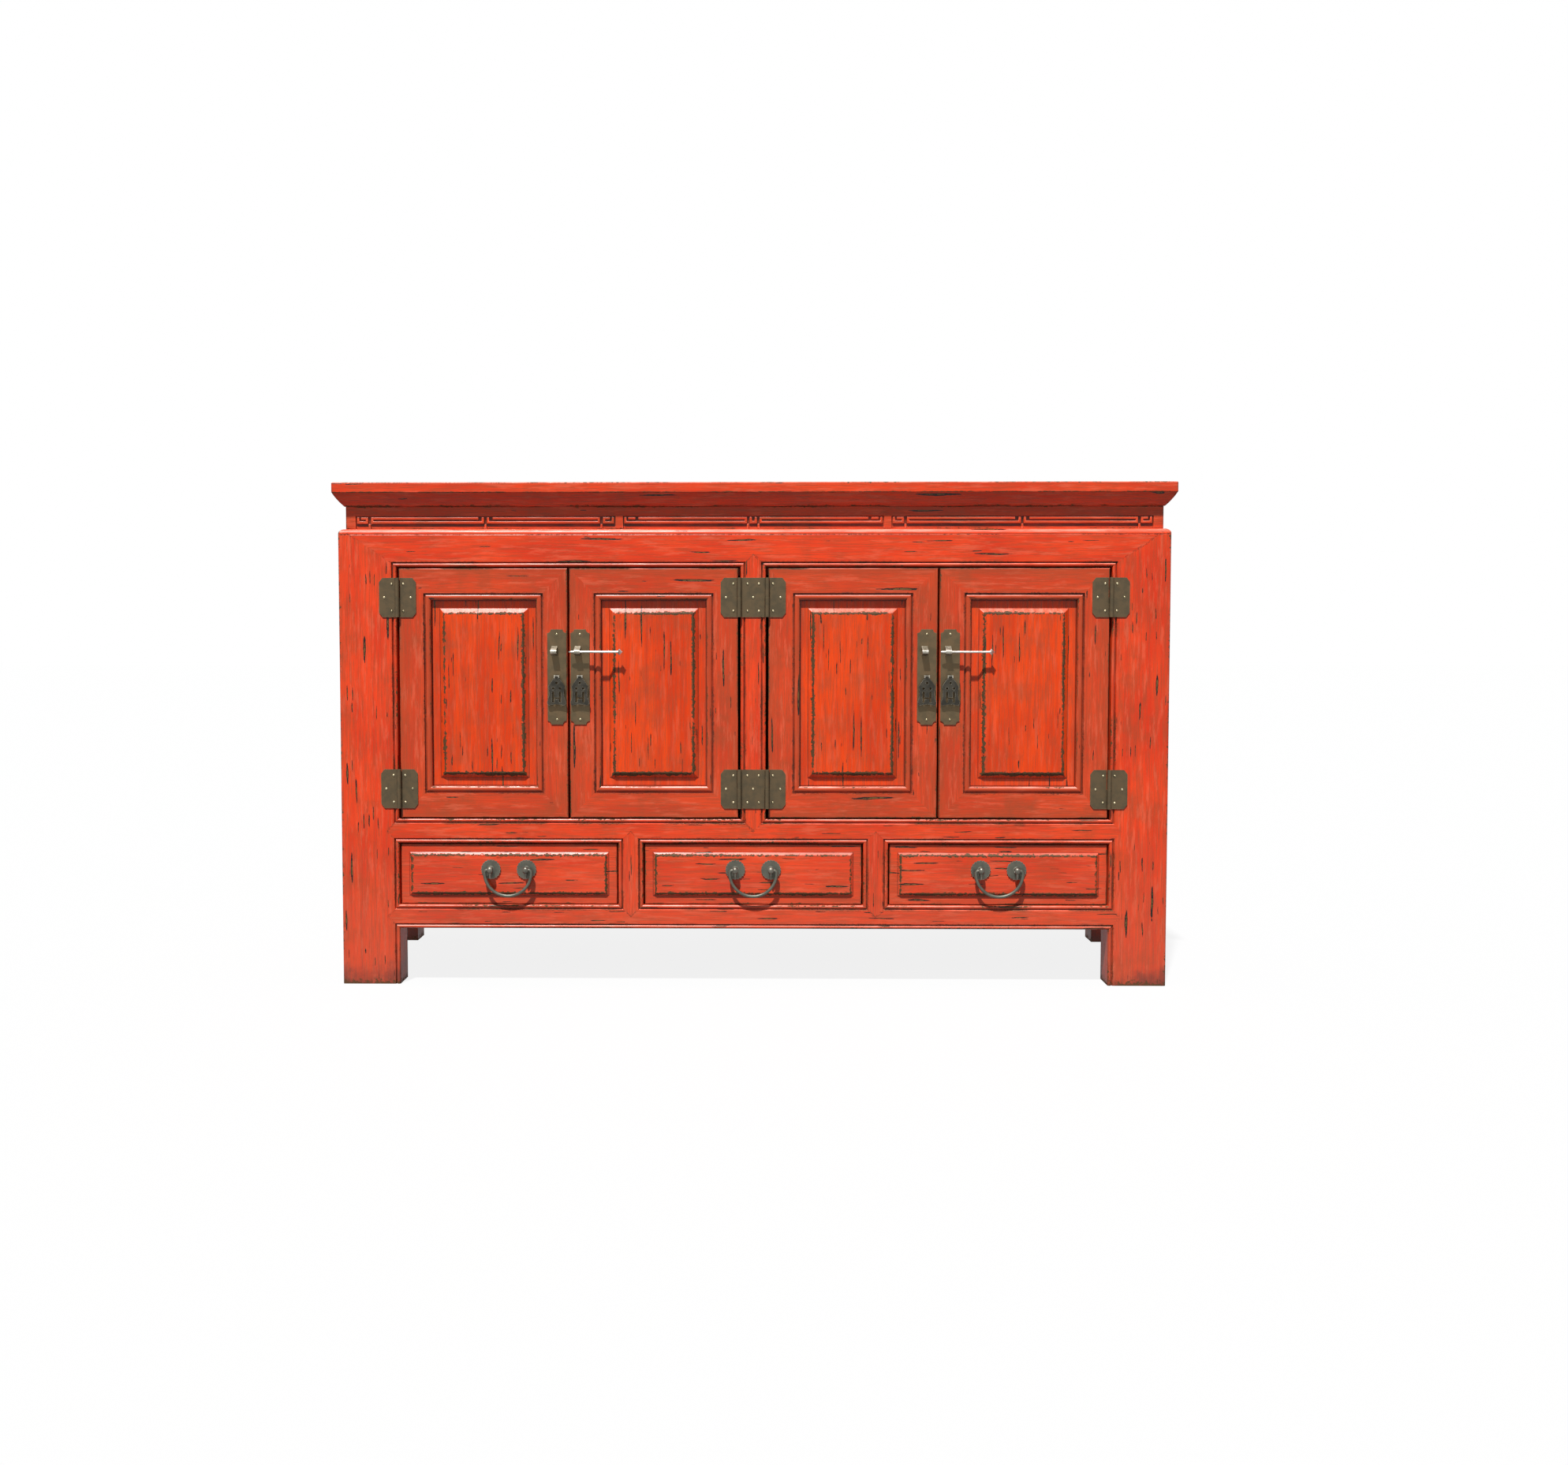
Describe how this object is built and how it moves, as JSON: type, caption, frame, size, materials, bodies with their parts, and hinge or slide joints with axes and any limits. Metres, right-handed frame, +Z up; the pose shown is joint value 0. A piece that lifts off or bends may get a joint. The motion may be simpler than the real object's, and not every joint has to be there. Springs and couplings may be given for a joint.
{
  "type": "tv console",
  "caption": "Low red lacquered sideboard with panelled hinged doors over pull-out drawers, a carved frieze, and aged brass hinges, lock plates and pulls.",
  "frame": {"origin": "middle of the whole footprint, at floor level", "axes": "+X along the front to the viewer's right, -Y out of the front, +Z up"},
  "size_m": [1.52, 0.4652, 0.914],
  "materials": {
    "red_lacquer": "worn satin lacquer",
    "plain_wood": "bare",
    "aged_brass": "aged",
    "dark_bronze": "aged",
    "pin_metal": "worn"
  },
  "bodies": {
    "carcass": {"leg_front_left": "red_lacquer", "leg_front_right": "red_lacquer", "legs_back": "red_lacquer", "rail_front_top": "red_lacquer", "rail_front_middle": "red_lacquer", "rail_front_apron": "red_lacquer", "front_stiles": "red_lacquer", "side_rails": "red_lacquer", "side_panels": "red_lacquer", "back_rails": "red_lacquer", "back_panel": "plain_wood", "cupboard_floor": "plain_wood", "frame_hinge_leaves": "aged_brass", "hinge_pins": "aged_brass", "frame_nails": "aged_brass", "drawer_runners": "plain_wood", "door_stops": "red_lacquer", "top_frame": "red_lacquer", "top_panel": "red_lacquer", "top_battens": "plain_wood", "waist_front": "red_lacquer", "waist_returns": "red_lacquer"},
    "door_1": {"door_1_frame": "red_lacquer", "door_1_panel": "red_lacquer", "door_1_hinge_leaves": "aged_brass", "door_1_lock_plate": "aged_brass", "door_1_nails": "aged_brass"},
    "pendant_1": {"pendant_1": "aged_brass"},
    "door_2": {"door_2_frame": "red_lacquer", "door_2_panel": "red_lacquer", "door_2_hinge_leaves": "aged_brass", "door_2_lock_plate": "aged_brass", "door_2_nails": "aged_brass"},
    "pendant_2": {"pendant_2": "aged_brass"},
    "door_3": {"door_3_frame": "red_lacquer", "door_3_panel": "red_lacquer", "door_3_hinge_leaves": "aged_brass", "door_3_lock_plate": "aged_brass", "door_3_nails": "aged_brass"},
    "pendant_3": {"pendant_3": "aged_brass"},
    "door_4": {"door_4_frame": "red_lacquer", "door_4_panel": "red_lacquer", "door_4_hinge_leaves": "aged_brass", "door_4_lock_plate": "aged_brass", "door_4_nails": "aged_brass"},
    "pendant_4": {"pendant_4": "aged_brass"},
    "locking_pin_left": {"locking_pin_left": "pin_metal"},
    "locking_pin_right": {"locking_pin_right": "pin_metal"},
    "drawer_1": {"drawer_1_front": "red_lacquer", "drawer_1_box": "plain_wood", "drawer_1_pull_mounts": "dark_bronze"},
    "bail_1": {"bail_1": "dark_bronze"},
    "drawer_2": {"drawer_2_front": "red_lacquer", "drawer_2_box": "plain_wood", "drawer_2_pull_mounts": "dark_bronze"},
    "bail_2": {"bail_2": "dark_bronze"},
    "drawer_3": {"drawer_3_front": "red_lacquer", "drawer_3_box": "plain_wood", "drawer_3_pull_mounts": "dark_bronze"},
    "bail_3": {"bail_3": "dark_bronze"}
  },
  "joints": [
    {"name": "door_1_hinge", "type": "hinge", "parent": "carcass", "child": "door_1", "pos_m": [-0.64425, -0.2187, 0.53325], "axis": [0, 0, -1], "range_deg": [0, 165]},
    {"name": "pendant_1_swing", "type": "hinge", "parent": "door_1", "child": "pendant_1", "pos_m": [-0.3558, -0.2206, 0.564], "axis": [-1, 0, 0], "range_deg": [-2, 75]},
    {"name": "door_2_hinge", "type": "hinge", "parent": "carcass", "child": "door_2", "pos_m": [-0.02525, -0.2187, 0.53325], "axis": [0, 0, 1], "range_deg": [0, 80]},
    {"name": "pendant_2_swing", "type": "hinge", "parent": "door_2", "child": "pendant_2", "pos_m": [-0.3137, -0.2206, 0.564], "axis": [-1, 0, 0], "range_deg": [-2, 75]},
    {"name": "door_3_hinge", "type": "hinge", "parent": "carcass", "child": "door_3", "pos_m": [0.02525, -0.2187, 0.53325], "axis": [0, 0, -1], "range_deg": [0, 80]},
    {"name": "pendant_3_swing", "type": "hinge", "parent": "door_3", "child": "pendant_3", "pos_m": [0.3137, -0.2206, 0.564], "axis": [-1, 0, 0], "range_deg": [-2, 75]},
    {"name": "door_4_hinge", "type": "hinge", "parent": "carcass", "child": "door_4", "pos_m": [0.64425, -0.2187, 0.53325], "axis": [0, 0, 1], "range_deg": [0, 165]},
    {"name": "pendant_4_swing", "type": "hinge", "parent": "door_4", "child": "pendant_4", "pos_m": [0.3558, -0.2206, 0.564], "axis": [-1, 0, 0], "range_deg": [-2, 75]},
    {"name": "locking_pin_left_slide", "type": "slide", "parent": "door_2", "child": "locking_pin_left", "axis": [1, 0, 0], "range_m": [-0.0654, 0]},
    {"name": "locking_pin_right_slide", "type": "slide", "parent": "door_4", "child": "locking_pin_right", "axis": [1, 0, 0], "range_m": [-0.0654, 0]},
    {"name": "drawer_1_slide", "type": "slide", "parent": "carcass", "child": "drawer_1", "axis": [0, -1, 0], "range_m": [0, 0.3]},
    {"name": "bail_1_swing", "type": "hinge", "parent": "drawer_1", "child": "bail_1", "pos_m": [-0.44617, -0.2249, 0.212], "axis": [-1, 0, 0], "range_deg": [-5, 110]},
    {"name": "drawer_2_slide", "type": "slide", "parent": "carcass", "child": "drawer_2", "axis": [0, -1, 0], "range_m": [0, 0.3]},
    {"name": "bail_2_swing", "type": "hinge", "parent": "drawer_2", "child": "bail_2", "pos_m": [0, -0.2249, 0.212], "axis": [-1, 0, 0], "range_deg": [-5, 110]},
    {"name": "drawer_3_slide", "type": "slide", "parent": "carcass", "child": "drawer_3", "axis": [0, -1, 0], "range_m": [0, 0.3]},
    {"name": "bail_3_swing", "type": "hinge", "parent": "drawer_3", "child": "bail_3", "pos_m": [0.44617, -0.2249, 0.212], "axis": [-1, 0, 0], "range_deg": [-5, 110]}
  ]
}
